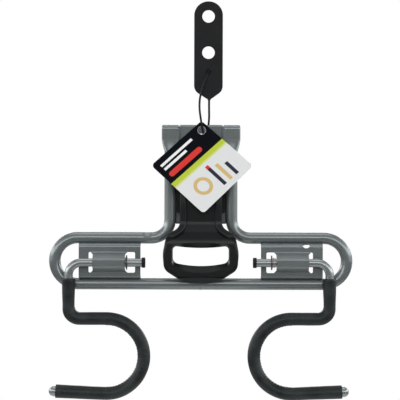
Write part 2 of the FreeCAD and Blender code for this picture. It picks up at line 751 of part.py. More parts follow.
def tab_tail():
    """The thin tail as a tube of straight runs and tangent arcs."""
    radii = cord_radii(tail_route)
    edges = []
    last = V(*tail_route[0])
    for i in range(1, len(tail_route) - 1):
        here = V(*tail_route[i])
        before = V(*tail_route[i - 1]) - here
        after = V(*tail_route[i + 1]) - here
        reach = 0.45 * min(before.Length, after.Length)
        before.normalize()
        after.normalize()
        bisector = before + after
        bisector.normalize()
        half_angle = before.getAngle(after) / 2
        radius = radii[i - 1]
        middle = here + bisector * (radius / math.sin(half_angle) - radius)
        edges.append(Part.LineSegment(last, here + before * reach).toShape())
        edges.append(Part.Arc(here + before * reach, middle, here + after * reach).toShape())
        last = here + after * reach
    edges.append(Part.LineSegment(last, V(*tail_route[-1])).toShape())
    path = Part.Wire(edges)
    print("tail length", round(path.Length, 1), "radii", [round(radius, 1) for radius in radii])
    tube = round_bar(path, tail_radius)
    section_area = math.pi * tail_radius ** 2
    print("tail volume over section times length", round(tube.Volume / (path.Length * section_area), 4))
    return tube


def tail_barb():
    """The moulded barb on the tail's end, pushed through the lock hole to hold behind it."""
    end = V(*tail_route[-1])
    along = end - V(*tail_route[-2])
    return Part.makeCone(barb_radius, barb_radius / 2, barb_length, end, along)


def hang_tag():
    """The square card tag, hung by one corner and leaning out over the latch."""
    lean = math.radians(tag_lean_deg)
    stretch = 1 / math.cos(lean)
    outline = [(tag_left_x, tag_left_z), (tag_foot_x, tag_foot_z), (tag_right_x, tag_right_z),
               (tag_head_x, tag_head_z)]
    corners = [(x - tag_hole_x, (z - tag_hole_z) * stretch, tag_corner_radius) for x, z in outline]
    card = sheet_xz(corners, -tag_thickness / 2, tag_thickness / 2)
    card = card.cut(rod_y(tag_hole_radius, -1, 1, 0, 0))
    card.rotate(V(0, 0, 0), V(1, 0, 0), -tag_lean_deg)
    card.translate(V(tag_hole_x, tag_hole_y, tag_hole_z))
    return card


def build():
    pieces = {
        "tube_frame": tube_frame(),
        "back_plate": back_plate(),
        "latch_handle": latch_handle(),
        "latch_guides": latch_guides(),
        "latch_spring": latch_spring(),
        "hang_tab": hang_tab(),
        "tab_tail": tab_tail(),
        "tail_barb": tail_barb(),
        "hang_tag": hang_tag(),
    }
    pieces["right_pivot_plate"] = pivot_plate(True)
    pieces["left_pivot_plate"] = on_the_left(pivot_plate(False))
    pieces["right_clip_spring"] = clip_spring(-hook_slide, clip_spring_turns)
    pieces["left_clip_spring"] = on_the_left(clip_spring(hook_slide, clip_spring_closed_turns))
    slid = V(-hook_slide, 0, 0)
    sliding = {
        "hook_rod": hook_rod(),
        "sleeve": sleeve(),
        "retaining_clip": retaining_clip(),
        "end_cap": end_cap(),
    }
    for name, piece in sliding.items():
        pieces["right_" + name] = piece.translated(slid)
        pieces["left_" + name] = on_the_left(piece).translated(slid)
    return pieces


os.makedirs("parts", exist_ok=True)
for name, shape in build().items():
    print(name, "valid" if shape.isValid() else "NOT VALID", len(shape.Solids), "solid, volume",
          round(shape.Volume, 1))
    shape.exportStep("parts/" + name + ".step")
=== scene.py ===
import bpy
import bmesh
import math
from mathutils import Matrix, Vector, noise


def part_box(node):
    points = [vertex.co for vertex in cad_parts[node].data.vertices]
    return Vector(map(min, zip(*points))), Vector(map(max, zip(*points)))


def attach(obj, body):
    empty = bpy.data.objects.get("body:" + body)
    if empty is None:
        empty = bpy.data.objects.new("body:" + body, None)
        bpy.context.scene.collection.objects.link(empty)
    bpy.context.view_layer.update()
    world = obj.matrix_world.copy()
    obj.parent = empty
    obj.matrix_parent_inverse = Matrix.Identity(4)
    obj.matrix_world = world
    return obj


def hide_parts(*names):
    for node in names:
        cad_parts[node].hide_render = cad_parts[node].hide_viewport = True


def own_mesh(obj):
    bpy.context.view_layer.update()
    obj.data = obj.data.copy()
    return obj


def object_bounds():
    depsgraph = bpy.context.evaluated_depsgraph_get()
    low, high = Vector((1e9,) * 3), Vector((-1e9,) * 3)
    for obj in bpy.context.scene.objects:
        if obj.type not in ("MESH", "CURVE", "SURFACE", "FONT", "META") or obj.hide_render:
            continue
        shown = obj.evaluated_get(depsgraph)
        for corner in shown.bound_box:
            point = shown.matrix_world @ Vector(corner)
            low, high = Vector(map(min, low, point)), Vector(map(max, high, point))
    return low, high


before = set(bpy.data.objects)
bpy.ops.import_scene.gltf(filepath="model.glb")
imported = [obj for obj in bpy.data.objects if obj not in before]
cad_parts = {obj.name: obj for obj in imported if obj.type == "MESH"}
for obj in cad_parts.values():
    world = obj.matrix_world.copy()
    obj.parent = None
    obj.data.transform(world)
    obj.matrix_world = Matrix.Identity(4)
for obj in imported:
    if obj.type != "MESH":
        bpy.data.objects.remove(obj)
cad_low, cad_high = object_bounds()


# Camera
# The hook is seen square from the front, from far enough away that its round bars barely show
# perspective. One pixel of the photograph is 0.95 mm at the hook's middle depth.
pixel = 0.00095
photo_width = 400
rail_seat_column = 200.9
rail_seat_row = 127.66
middle_depth = -0.008
camera_distance = 1.7
camera_roll = math.radians(-0.17)
film_width = 36.0
nearest_seen = 0.05


def in_scene(name, data):
    """A new object in the scene, made from its data."""
    made = bpy.data.objects.new(name, data)
    bpy.context.scene.collection.objects.link(made)
    return made


camera_data = bpy.data.cameras.new("camera")
camera_data.sensor_width = film_width
camera_data.lens = film_width * camera_distance / (photo_width * pixel)
camera_data.clip_start = nearest_seen
camera = in_scene("camera", camera_data)
camera.location = ((photo_width / 2 - rail_seat_column) * pixel, middle_depth - camera_distance,
                   (rail_seat_row - photo_width / 2) * pixel)
camera.rotation_euler = (math.radians(90), camera_roll, 0)
bpy.context.scene.camera = camera
bpy.context.scene.view_settings.view_transform = "Standard"


# Tail of the display tab
# A thin moulded tail of black plastic that loops behind the plate's top edge, out through the hang
# slot and the tag's eyelet, and back up into the tab's lock hole.
class Wire:
    """An output in a tree of nodes. Sums that are written with it become Math nodes."""

    def __init__(self, nodes, socket):
        self.nodes = nodes
        self.socket = socket

    def __add__(self, other):
        return self.nodes.maths("ADD", self, other)

    def __radd__(self, other):
        return self.nodes.maths("ADD", other, self)

    def __sub__(self, other):
        return self.nodes.maths("SUBTRACT", self, other)

    def __rsub__(self, other):
        return self.nodes.maths("SUBTRACT", other, self)

    def __mul__(self, other):
        return self.nodes.maths("MULTIPLY", self, other)

    def __rmul__(self, other):
        return self.nodes.maths("MULTIPLY", other, self)

    def __lt__(self, other):
        return self.nodes.maths("LESS_THAN", self, other)


class Nodes:
    """Short ways to add nodes to a tree."""

    def __init__(self, tree):
        self.tree = tree

    def node(self, kind, settings=(), inputs=(), output=0):
        made = self.tree.nodes.new(kind if "Node" in kind else "ShaderNode" + kind)
        for key, value in dict(settings).items():
            setattr(made, key, value)
        for key, value in dict(inputs).items():
            if isinstance(value, Wire):
                self.tree.links.new(value.socket, made.inputs[key])
            else:
                made.inputs[key].default_value = value
        return Wire(self, made.outputs[output])

    def maths(self, operation, first, second=0.0):
        return self.node("Math", {"operation": operation}, {0: first, 1: second})

    def across(self, place, letter):
        """One coordinate of a place."""
        return self.node("SeparateXYZ", (), {0: place}, "XYZ".index(letter))

    def ramp(self, value, low, high, start=0.0, end=1.0):
        """Start below low, end above high, and even between."""
        return self.node("MapRange", {"clamp": True}, {0: value, 1: low, 2: high, 3: start, 4: end})

    def band(self, value, low, high, soft):
        """1 between two edges and 0 outside, and even over the soft width at each edge."""
        return self.ramp(value, low - soft, low) - self.ramp(value, high, high + soft)

    def mix(self, amount, first, second):
        """A number between two numbers."""
        return self.node("Mix", (), {0: amount, 2: first, 3: second})


class Finish(Nodes):
    """A surface finish: a material with one Principled shader, its fixed values given by name."""

    def __init__(self, name, **fixed):
        self.material = bpy.data.materials.new(name)
        self.material.use_nodes = True
        super().__init__(self.material.node_tree)
        self.shader = self.tree.nodes["Principled BSDF"]
        for socket, value in fixed.items():
            self.shader.inputs[socket.replace("_", " ")].default_value = value

    def place(self):
        """The point on the surface, in metres, in the frame that every piece shares."""
        return self.node("TexCoord", (), (), "Object")

    def reach(self, centre, stretch):
        """How far a spot on the surface lies from a centre, with each coordinate stretched."""
        offset = self.node("VectorMath", {"operation": "SUBTRACT"}, {0: self.place(), 1: centre})
        offset = self.node("VectorMath", {"operation": "MULTIPLY"}, {0: offset, 1: stretch})
        return self.node("VectorMath", {"operation": "LENGTH"}, {0: offset}, "Value")

    def grain(self, scale, detail, place=None):
        """Noise from 0 to 1, with its coarsest spots 1/scale metres across."""
        place = place or self.place()
        return self.node("TexNoise", (), {"Vector": place, "Scale": scale, "Detail": detail})

    def blend(self, amount, first, second):
        """A colour between two colours."""
        return self.node("Mix", {"data_type": "RGBA"}, {0: amount, 6: first, 7: second}, 2)

    def bump(self, height, depth):
        return self.node("Bump", (), {"Strength": 1.0, "Distance": depth, "Height": height})

    def drive(self, **wires):
        for socket, wire in wires.items():
            self.tree.links.new(wire.socket, self.shader.inputs[socket.replace("_", " ")])


def paint_node(name, finish):
    """Gives a part that keeps its own shape its finish."""
    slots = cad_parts[name].data.materials
    slots.clear()
    slots.append(finish.material)


tail_diameter = 0.002
mm_per_metre = 1000
tail_points = [
    (7.5, -3.0, 26.1),
    (7.5, -3.0, 17.6),
    (7.7, 1.4, 9.6),
    (6.9, 4.6, 1.2),
    (5.0, 3.2, -7.4),
    (3.2, -4.2, -9.4),
    (1.1, -9.2, -1.3),
    (-0.2, -12.8, 7.4),
    (-1.5, -13.0, 15.9),
    (-1.7, -11.2, 24.4),
    (-0.4, -9.4, 32.8),
    (2.3, -8.3, 41.2),
    (5.3, -7.2, 49.6),
    (7.3, -0.27, 54.96),
]
tab_deep_black = (0.0045, 0.0060, 0.0064, 1)
tab_pale_black = (0.0080, 0.0098, 0.0102, 1)
tab_black = Finish("tab_black", Specular_IOR_Level=0.2)
tab_speckle = tab_black.grain(scale=2600.0, detail=2.0)
tab_cloud = tab_black.grain(scale=60.0, detail=3.0)
tab_tone = tab_black.ramp(tab_cloud, low=0.35, high=0.7)
tab_black.drive(
    Base_Color=tab_black.blend(tab_tone, tab_deep_black, tab_pale_black),
    Roughness=0.36 + tab_cloud * 0.2,
    Normal=tab_black.bump(tab_speckle, depth=0.00003))

tail_curve = bpy.data.curves.new("tab_tail_cord", "CURVE")
tail_curve.dimensions = "3D"
tail_line = tail_curve.splines.new("NURBS")
tail_line.points.add(len(tail_points) - 1)
for spot, (x, y, z) in zip(tail_line.points, tail_points):
    spot.co = (x / mm_per_metre, y / mm_per_metre, z / mm_per_metre, 1)
tail_line.order_u = 3
tail_line.use_endpoint_u = True
tail_curve.resolution_u = 12
tail_curve.bevel_depth = tail_diameter / 2
tail_curve.bevel_resolution = 5
tail_curve.use_fill_caps = True
tail_curve.materials.append(tab_black.material)
tail = in_scene("tab_tail_cord", tail_curve)
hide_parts("tab_tail")
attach(tail, "frame")


# Display tab
# A flat tab moulded in black plastic, with two peg holes and shoulders that draw in to its tail. The
# barb on the tail's end snaps through a small lock hole, and its thin round skirt lies against the
# tab's back and closes the hole.
paint_node("hang_tab", tab_black)
paint_node("tail_barb", tab_black)

skirt_x = 0.0068
skirt_z = 0.0534
skirt_profile = ((0.0, -0.00225), (0.0026, -0.00225), (0.0033, -0.00215), (0.0034, -0.00195),
                 (0.0031, -0.00175), (0.0020, -0.00145), (0.0, -0.00130))
skirt_steps = 32
same_spot = 1e-6
skirt_bm = bmesh.new()
skirt_rings = []
for radius, y in skirt_profile:
    skirt_rings.append([])
    for step in range(skirt_steps):
        turn = 2 * math.pi * step / skirt_steps
        place = (skirt_x + radius * math.cos(turn), y, skirt_z + radius * math.sin(turn))
        skirt_rings[-1].append(skirt_bm.verts.new(place))
for ring, next_ring in zip(skirt_rings, skirt_rings[1:]):
    for j in range(skirt_steps):
        k = (j + 1) % skirt_steps
        skirt_bm.faces.new((ring[j], next_ring[j], next_ring[k], ring[k])).smooth = True
bmesh.ops.remove_doubles(skirt_bm, verts=skirt_bm.verts, dist=same_spot)
bmesh.ops.recalc_face_normals(skirt_bm, faces=skirt_bm.faces)
skirt_mesh = bpy.data.meshes.new("barb_skirt")
skirt_bm.to_mesh(skirt_mesh)
skirt_bm.free()
skirt_mesh.materials.append(tab_black.material)
barb_skirt = in_scene("barb_skirt", skirt_mesh)
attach(barb_skirt, "frame")


# Tube frame and its plates
# One steel tube bent into legs, bars and round ends, with its two upper ends pressed flat and turned
# over as claws. The stamped back plate and pivot plates are welded to it, and grey metallic enamel
# covers them all. A small dimple marks the left bar.
enamel_dark = (0.160, 0.180, 0.184, 1)
enamel_light = (0.194, 0.216, 0.220, 1)
dimple_place = (-0.0506, -0.0085, -0.1024)
dimple_reach = 0.0034
dimple_floor = 0.3
dimple_stretch = (0.62, 1.0, 1.0)
dimple_depth = 0.0012
peel_share = 0.009
steel_grey = Finish("steel_grey", Metallic=0.55, Coat_Roughness=0.2)
steel_cloud = steel_grey.grain(scale=38.0, detail=3.0)
steel_flake = steel_grey.grain(scale=1500.0, detail=1.0)
steel_peel = steel_grey.grain(scale=420.0, detail=2.0)
steel_tone = steel_grey.ramp(steel_cloud * 0.6 + steel_flake * 0.4, low=0.35, high=0.65)
dimple_distance = steel_grey.reach(dimple_place, dimple_stretch)
dimple = steel_grey.ramp(dimple_distance, dimple_floor * dimple_reach, dimple_reach)
steel_grey.drive(
    Base_Color=steel_grey.blend(steel_tone, enamel_dark, enamel_light),
    Roughness=0.17 + steel_cloud * 0.06 + steel_flake * 0.02,
    Coat_Weight=0.05 + steel_cloud * 0.15,
    Normal=steel_grey.bump(steel_peel * peel_share + dimple, depth=dimple_depth))
for part in ("tube_frame", "back_plate", "left_pivot_plate", "right_pivot_plate"):
    paint_node(part, steel_grey)


# Welds
# Short runs of weld metal join the stamped plates to the tube and close the tube's butt joint, all
# under the frame's enamel. Each run is a row of small overlapping ripples laid along its seam.
def new_tree(name, inputs):
    """A tree for a Geometry Nodes modifier, with named inputs, given as (name, kind)."""
    tree = bpy.data.node_groups.new(name, "GeometryNodeTree")
    tree.interface.new_socket("Geometry", in_out="OUTPUT", socket_type="NodeSocketGeometry")
    tree.interface.new_socket("Geometry", in_out="INPUT", socket_type="NodeSocketGeometry")
    for socket, kind in inputs:
        tree.interface.new_socket(socket, in_out="INPUT", socket_type="NodeSocket" + kind)
    nodes = Nodes(tree)
    given = tree.nodes.new("NodeGroupInput")
    result = tree.nodes.new("NodeGroupOutput")
    wires = {socket.name: Wire(nodes, socket) for socket in given.outputs if socket.name}
    return nodes, wires, result


def grown(name, mesh, nodes, values):
    """A plain mesh piece, made from a mesh by a tree of nodes with the values of its inputs."""
    seed_piece = in_scene(name + "_seed", mesh)
    modifier = seed_piece.modifiers.new("grow", "NODES")
    modifier.node_group = nodes.tree
    for item in nodes.tree.interface.items_tree:
        if item.in_out == "INPUT" and item.name in values:
            modifier[item.identifier] = values[item.name]
    seen = seed_piece.evaluated_get(bpy.context.evaluated_depsgraph_get())
    final = bpy.data.meshes.new_from_object(seen)
    seed_piece.modifiers.remove(modifier)
    bpy.data.objects.remove(seed_piece)
    final.name = name
    return in_scene(name, final)


weld_nodes, weld_inputs, weld_result = new_tree("weld_ripples", [
    ("Pitch", "Float"), ("Radius", "Float"), ("Seed", "Int"), ("Material", "Material")])
smallest_ripple = 0.86
largest_ripple = 1.12
ripple_overlap = 0.85
seams = weld_nodes.node("GeometryNodeMeshToCurve", (), {"Mesh": weld_inputs["Geometry"]})
ripples = weld_nodes.node("GeometryNodeCurveToPoints", {"mode": "LENGTH"},
                          {"Curve": seams, "Length": weld_inputs["Pitch"]})
ripple_turn = Wire(weld_nodes, ripples.socket.node.outputs["Rotation"])
ripple = weld_nodes.node("GeometryNodeMeshIcoSphere", (), {"Radius": 1.0, "Subdivisions": 2})
spread = weld_nodes.node("FunctionNodeRandomValue", (),
                         {2: smallest_ripple, 3: largest_ripple, "Seed": weld_inputs["Seed"]}, 1)
across_seam = spread * weld_inputs["Radius"]
along_seam = weld_inputs["Pitch"] * ripple_overlap
ripple_size = weld_nodes.node("CombineXYZ", (), {0: across_seam, 1: across_seam, 2: along_seam})
laid = weld_nodes.node(
    "GeometryNodeInstanceOnPoints", (),
    {"Points": ripples, "Instance": ripple, "Rotation": ripple_turn, "Scale": ripple_size})
laid = weld_nodes.node("GeometryNodeRealizeInstances", (), {0: laid})
laid = weld_nodes.node("GeometryNodeSetShadeSmooth", (), {0: laid, "Shade Smooth": True})
laid = weld_nodes.node("GeometryNodeSetMaterial", (),
                       {"Geometry": laid, "Material": weld_inputs["Material"]})
weld_nodes.tree.links.new(laid.socket, weld_result.inputs[0])


def weld(name, runs, pitch, radius, seed):
    """Rows of ripples along the runs, each a list of places, as one piece on the frame."""
    places = []
    edges = []
    for run in runs:
        first = len(places)
        places += run
        edges += [(i, i + 1) for i in range(first, len(places) - 1)]
    mesh = bpy.data.meshes.new(name + "_seams")
    mesh.from_pydata(places, edges, [])
    piece = grown(name, mesh, weld_nodes,
                  {"Pitch": pitch, "Radius": radius, "Seed": seed, "Material": steel_grey.material})
    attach(piece, "frame")


neck_weld_x = 0.0212
neck_weld_y = -0.0016
neck_weld_top = 0.0008
neck_weld_foot = -0.0115
neck_runs = [[(side * neck_weld_x, neck_weld_y, neck_weld_top),
              (side * neck_weld_x, neck_weld_y, neck_weld_foot)]
             for side in (-1, 1)]
weld("neck_welds", neck_runs, pitch=0.0008, radius=0.0019, seed=3)

plate_low, plate_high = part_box("right_pivot_plate")
plate_length = plate_high[0] - plate_low[0]
stitch_y = -0.0049
stitch_rows = (-0.1109, -0.1424)
stitch_starts = (0.04, 0.29, 0.55, 0.80)
stitch_share = 0.15
flange_runs = []
for side in (-1, 1):
    for stitch_z in stitch_rows:
        for start in stitch_starts:
            first_x = plate_low[0] + plate_length * start
            last_x = first_x + plate_length * stitch_share
            flange_runs.append([(side * first_x, stitch_y, stitch_z),
                                (side * last_x, stitch_y, stitch_z)])
weld("flange_welds", flange_runs, pitch=0.0009, radius=0.0011, seed=5)

bead_y = -0.0080
bead_rows = (-0.1104, -0.1429)
bead_inset = 0.001
front_runs = [[(side * (plate_low[0] + bead_inset), bead_y, bead_z),
               (side * (plate_high[0] - bead_inset), bead_y, bead_z)]
              for side in (-1, 1) for bead_z in bead_rows]
weld("front_welds", front_runs, pitch=0.0006, radius=0.0009, seed=8)

plate_edge_x = 0.0256
plate_edge_y = -0.0013
edge_stitches = ((-0.030, -0.042), (-0.054, -0.066), (-0.078, -0.089))
edge_runs = [[(side * plate_edge_x, plate_edge_y, top), (side * plate_edge_x, plate_edge_y, foot)]
             for side in (-1, 1) for top, foot in edge_stitches]
weld("plate_welds", edge_runs, pitch=0.0009, radius=0.0011, seed=7)

tube_radius = 0.0055
joint_x = -0.0004
joint_z = -0.1485
joint_steps = 36
joint_ring = []
for step in range(joint_steps + 1):
    turn = 2 * math.pi * step / joint_steps
    joint_ring.append((joint_x, -tube_radius - tube_radius * math.sin(turn),
                       joint_z + tube_radius * math.cos(turn)))
weld("tube_joint_weld", [joint_ring], pitch=0.0007, radius=0.00042, seed=9)


# Hook rods
# Cold-drawn 8 mm rod, bent in one plane and sprayed with a thin, lighter coat of the enamel before
# the sleeves go on. Its drawn surface is smoother than the tube's.
rod_dark = (0.235, 0.255, 0.256, 1)
rod_light = (0.315, 0.338, 0.338, 1)
rod_grey = Finish("rod_grey", Metallic=0.7, Coat_Roughness=0.2)
rod_cloud = rod_grey.grain(scale=45.0, detail=3.0)
rod_flake = rod_grey.grain(scale=1500.0, detail=1.0)
rod_tone = rod_cloud * 0.6 + rod_flake * 0.4
rod_grey.drive(
    Base_Color=rod_grey.blend(rod_tone, rod_dark, rod_light),
    Roughness=0.15 + rod_cloud * 0.07,
    Coat_Weight=0.05 + rod_cloud * 0.10,
    Normal=rod_grey.bump(rod_cloud, depth=0.00002))
for side in ("left", "right"):
    paint_node(side + "_hook_rod", rod_grey)


# Latch
# One black moulding, satin from the fine spark texture of its mould. It slides on two headed pins in
# the plate's slots and is pulled down by its ring.
latch_deep_black = (0.0036, 0.0050, 0.0052, 1)
latch_pale_black = (0.0066, 0.0086, 0.0088, 1)
latch_black = Finish("latch_black", Specular_IOR_Level=0.26)
latch_texture = latch_black.grain(scale=1900.0, detail=2.0)
latch_cloud = latch_black.grain(scale=45.0, detail=3.0)
latch_black.drive(
    Base_Color=latch_black.blend(latch_cloud, latch_deep_black, latch_pale_black),
    Roughness=0.25 + latch_cloud * 0.08,
    Normal=latch_black.bump(latch_texture, depth=0.00003))
paint_node("latch_handle", latch_black)


# Guide pins, clip springs and clips
# Small stock hardware: the latch's pins and the hooks' springs are zinc plated, and the clips that
# hold the rods are dark phosphated spring steel.
zinc_yellow = (0.50, 0.46, 0.36, 1)
zinc_white = (0.66, 0.64, 0.60, 1)
zinc = Finish("zinc", Metallic=1.0)
zinc_cloud = zinc.grain(scale=300.0, detail=3.0)
zinc.drive(
    Base_Color=zinc.blend(zinc_cloud, zinc_yellow, zinc_white),
    Roughness=0.22 + zinc_cloud * 0.2)
for part in ("latch_guides", "left_clip_spring", "right_clip_spring"):
    paint_node(part, zinc)
phosphate_dark = (0.035, 0.038, 0.040, 1)
phosphate_light = (0.08, 0.085, 0.088, 1)
dark_steel = Finish("dark_steel", Metallic=0.9)
dark_cloud = dark_steel.grain(scale=500.0, detail=3.0)
dark_steel.drive(
    Base_Color=dark_steel.blend(dark_cloud, phosphate_dark, phosphate_light),
    Roughness=0.32 + dark_cloud * 0.2)
for side in ("left", "right"):
    paint_node(side + "_retaining_clip", dark_steel)


# Latch spring
# A zinc-plated compression coil in the latch's rear pocket. It stands on the plate's seat.
spring_foot = -0.070
spring_length = 0.026
spring_wire = 0.0008
spring_radius = 0.0023
spring_turns = 8
spring_turn_steps = 24
spring_axis_y = -0.00525
coil_curve = bpy.data.curves.new("latch_coil", "CURVE")
coil_curve.dimensions = "3D"
coil_line = coil_curve.splines.new("POLY")
coil_steps = spring_turns * spring_turn_steps
coil_line.points.add(coil_steps)
for step, spot in enumerate(coil_line.points):
    turn = 2 * math.pi * step / spring_turn_steps
    rise = spring_wire / 2 + (spring_length - spring_wire) * step / coil_steps
    spot.co = (spring_radius * math.cos(turn), spring_axis_y + spring_radius * math.sin(turn),
               spring_foot + rise, 1)
coil_curve.bevel_depth = spring_wire / 2
coil_curve.bevel_resolution = 3
coil_curve.use_fill_caps = True
coil_seed = in_scene("latch_coil_seed", coil_curve)
coil_seen = coil_seed.evaluated_get(bpy.context.evaluated_depsgraph_get())
coil_mesh = bpy.data.meshes.new_from_object(coil_seen)
bpy.data.objects.remove(coil_seed)
coil_mesh.materials.clear()
coil_mesh.materials.append(zinc.material)
latch_coil = in_scene("latch_coil", coil_mesh)
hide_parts("latch_spring")
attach(latch_coil, "frame")
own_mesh(latch_coil)


# End caps
# Small caps of black plastic, like the display tab's. Each is pushed onto its rod's inner end and
# covers the cut steel.
for side in ("left", "right"):
    paint_node(side + "_end_cap", tab_black)


# Sleeves
# Closed-cell foam tube pushed over each rod. It thins where it is stretched round a bend, gathers
# into soft creases inside the bend, and swells a little at its cut ends.
foam_deep_black = (0.0058, 0.0082, 0.0088, 1)
foam_pale_black = (0.0165, 0.0218, 0.0230, 1)
foam_depth = 0.00035
crease_stretch = (1.0, 0.22, 1.0)
foam = Finish("foam", Specular_IOR_Level=0.28)
foam_around = foam.node("UVMap", {"uv_map": "along"})
foam_stretched = foam.node("Mapping", {"vector_type": "POINT"},
                           {"Vector": foam_around, "Scale": crease_stretch})
foam_creases = foam.grain(scale=620.0, detail=3.0, place=foam_stretched)
foam_cells = foam.grain(scale=1400.0, detail=2.0)
foam_cloud = foam.grain(scale=70.0, detail=4.0)
foam_tone = foam.ramp(foam_cloud, low=0.35, high=0.65)
foam.drive(
    Base_Color=foam.blend(foam_tone, foam_deep_black, foam_pale_black),
    Roughness=0.30 + foam_cloud * 0.22,
    Normal=foam.bump(foam_cells * 0.4 + foam_creases * 0.7 + foam_cloud * 0.6, depth=foam_depth))

hook_leg_x = 0.1233
hook_leg_top = -0.1430
hook_arm_z = -0.1809
hook_end_x = 0.1351
hook_plane_y = -0.018
hook_slide = -0.0015
arm_bend = 0.010
c_centre = (0.0872, -0.2163)
c_radius = 0.0354
c_rise = math.radians(2.5)
bore_radius = 0.00405
sleeve_length = 0.2366
sleeve_widths = ((0.0, 0.0064), (0.008, 0.0062), (0.026, 0.0057), (0.036, 0.0060), (0.048, 0.0061),
                 (0.075, 0.0061), (0.115, 0.0059), (0.155, 0.0059), (0.185, 0.0062), (0.215, 0.0063),
                 (sleeve_length, 0.0065))
sleeve_step = 0.001
sleeve_ring = 48
sleeve_mean_radius = 0.006
skin_depth = 0.00016
skin_scale = 75
skin_places = {"left": Vector((7.3, 1.9, 4.1)), "right": Vector((2.2, 8.8, 0.7))}
fold_bend = 60
fold_rise = 0.00045
fold_depth = 0.00035
fold_rate = 1900
fold_lean = 1.3
ruffle_bend = 25
ruffle_depth = 0.00016
ruffle_rate = 420
end_rounding = 0.0005
end_reach = 0.0007


def sleeve_line():
    """Places down the middle of the right sleeve, 1 mm apart, each with its direction and bend."""
    line = []

    def straight(first, last):
        run = last - first
        count = max(1, round(run.length / sleeve_step))
        for i in range(count):
            line.append((first + run * (i / count), run.normalized(), 0.0))

    def arc(centre, radius, start, end):
        count = max(1, round(abs(end - start) * radius / sleeve_step))
        way = 1 if end > start else -1
        for i in range(count):
            turn = start + (end - start) * i / count
            outward = Vector((math.cos(turn), math.sin(turn)))
            along = Vector((-outward.y, outward.x)) * way
            line.append((centre + outward * radius, along, way / radius))

    top = Vector((hook_leg_x, hook_leg_top))
    turn_centre = Vector((hook_leg_x - arm_bend, hook_arm_z + arm_bend))
    straight(top, Vector((hook_leg_x, turn_centre.y)))
    arc(turn_centre, arm_bend, 0.0, -math.pi / 2)
    c_middle = Vector(c_centre)
    straight(Vector((turn_centre.x, hook_arm_z)), Vector((c_middle.x, hook_arm_z)))
    arc(c_middle, c_radius, math.pi / 2, 3 * math.pi / 2 + c_rise)
    heading = Vector((math.cos(c_rise), math.sin(c_rise)))
    leave = c_middle + Vector((math.sin(c_rise), -math.cos(c_rise))) * c_radius
    finish = leave + heading * ((hook_end_x - leave.x) / math.cos(c_rise))
    straight(leave, finish)
    line.append((finish, heading, 0.0))
    return line


def sleeve_width(distance):
    """The sleeve's radius at a distance from its upper end."""
    for (first, start), (last, end) in zip(sleeve_widths, sleeve_widths[1:]):
        if distance <= last:
            share = (distance - first) / (last - first)
            share = share * share * (3 - 2 * share)
            return start + (end - start) * share
    return sleeve_widths[-1][1]


def foam_radius(distance, spot, inside, bend, turn, lift):
    """The sleeve's radius at a spot, with its uneven skin, its creases and its rounded ends."""
    radius = sleeve_width(distance) + skin_depth * noise.noise(spot * skin_scale + lift)
    fold = inside ** 3 * min(1.0, abs(bend) / fold_bend)
    wave = math.sin(distance * fold_rate + fold_lean * math.sin(turn))
    radius += fold * (fold_rise + fold_depth * wave)
    ruffle = inside ** 2 * min(1.0, abs(bend) / ruffle_bend)
    radius += ruffle * ruffle_depth * noise.noise(Vector((distance * ruffle_rate, turn, lift.x)))
    from_end = max(0.0, min(distance, sleeve_length - distance))
    return radius - end_rounding * max(0.0, 1 - from_end / end_reach) ** 2


def foam_sleeve(side):
    """A foam sleeve as a closed tube: its outside, two cut ends and its bore."""
    line = sleeve_line()
    flip = -1 if side == "left" else 1
    lift = skin_places[side]
    bm = bmesh.new()
    outside = []
    bore = []
    distances = []
    for i, (place, along, bend) in enumerate(line):
        distances.append(distances[-1] + (place - line[i - 1][0]).length if i else 0.0)
        width = sleeve_width(distances[-1])
        outside.append([])
        bore.append([])
        for j in range(sleeve_ring):
            turn = 2 * math.pi * j / sleeve_ring
            towards = Vector((-along.y, along.x)) * math.cos(turn)
            inside = max(0.0, math.cos(turn) * (1 if bend > 0 else -1)) if bend else 0.0
            spot = Vector((place.x + towards.x * width, math.sin(turn) * width,
                           place.y + towards.y * width))
            radius = foam_radius(distances[-1], spot, inside, bend, turn, lift)
            for wanted, shell in ((radius, outside), (bore_radius, bore)):
                x = (place.x + towards.x * wanted) * flip + hook_slide
                y = hook_plane_y - math.sin(turn) * wanted
                shell[-1].append(bm.verts.new((x, y, place.y + towards.y * wanted)))
    uv = bm.loops.layers.uv.new("along")

    def skin(first, second, reverse):
        """Smooth faces from one list of rings to another, with the UV map that the creases follow."""
        for i in range(len(first)):
            for j in range(sleeve_ring):
                k = (j + 1) % sleeve_ring
                corners = [first[i][j], first[i][k], second[i][k], second[i][j]]
                marks = [(j, i), (j + 1, i), (j + 1, i + 1), (j, i + 1)]
                if reverse:
                    corners.reverse()
                    marks.reverse()
                face = bm.faces.new(corners)
                face.smooth = True
                for loop, (column, row) in zip(face.loops, marks):
                    at = distances[min(row, len(distances) - 1)]
                    loop[uv].uv = (at, column / sleeve_ring * 2 * math.pi * sleeve_mean_radius)

    skin(outside[:-1], outside[1:], reverse=False)
    skin(bore[:-1], bore[1:], reverse=True)
    skin(outside[:1], bore[:1], reverse=True)
    skin(outside[-1:], bore[-1:], reverse=False)
    bmesh.ops.recalc_face_normals(bm, faces=bm.faces)
    mesh = bpy.data.meshes.new(side + "_foam_sleeve")
    bm.to_mesh(mesh)
    bm.free()
    mesh.materials.append(foam.material)
    piece = in_scene(side + "_foam_sleeve", mesh)
    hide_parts(side + "_sleeve")
    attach(piece, side + "_hook")


for side in ("left", "right"):
    foam_sleeve(side)


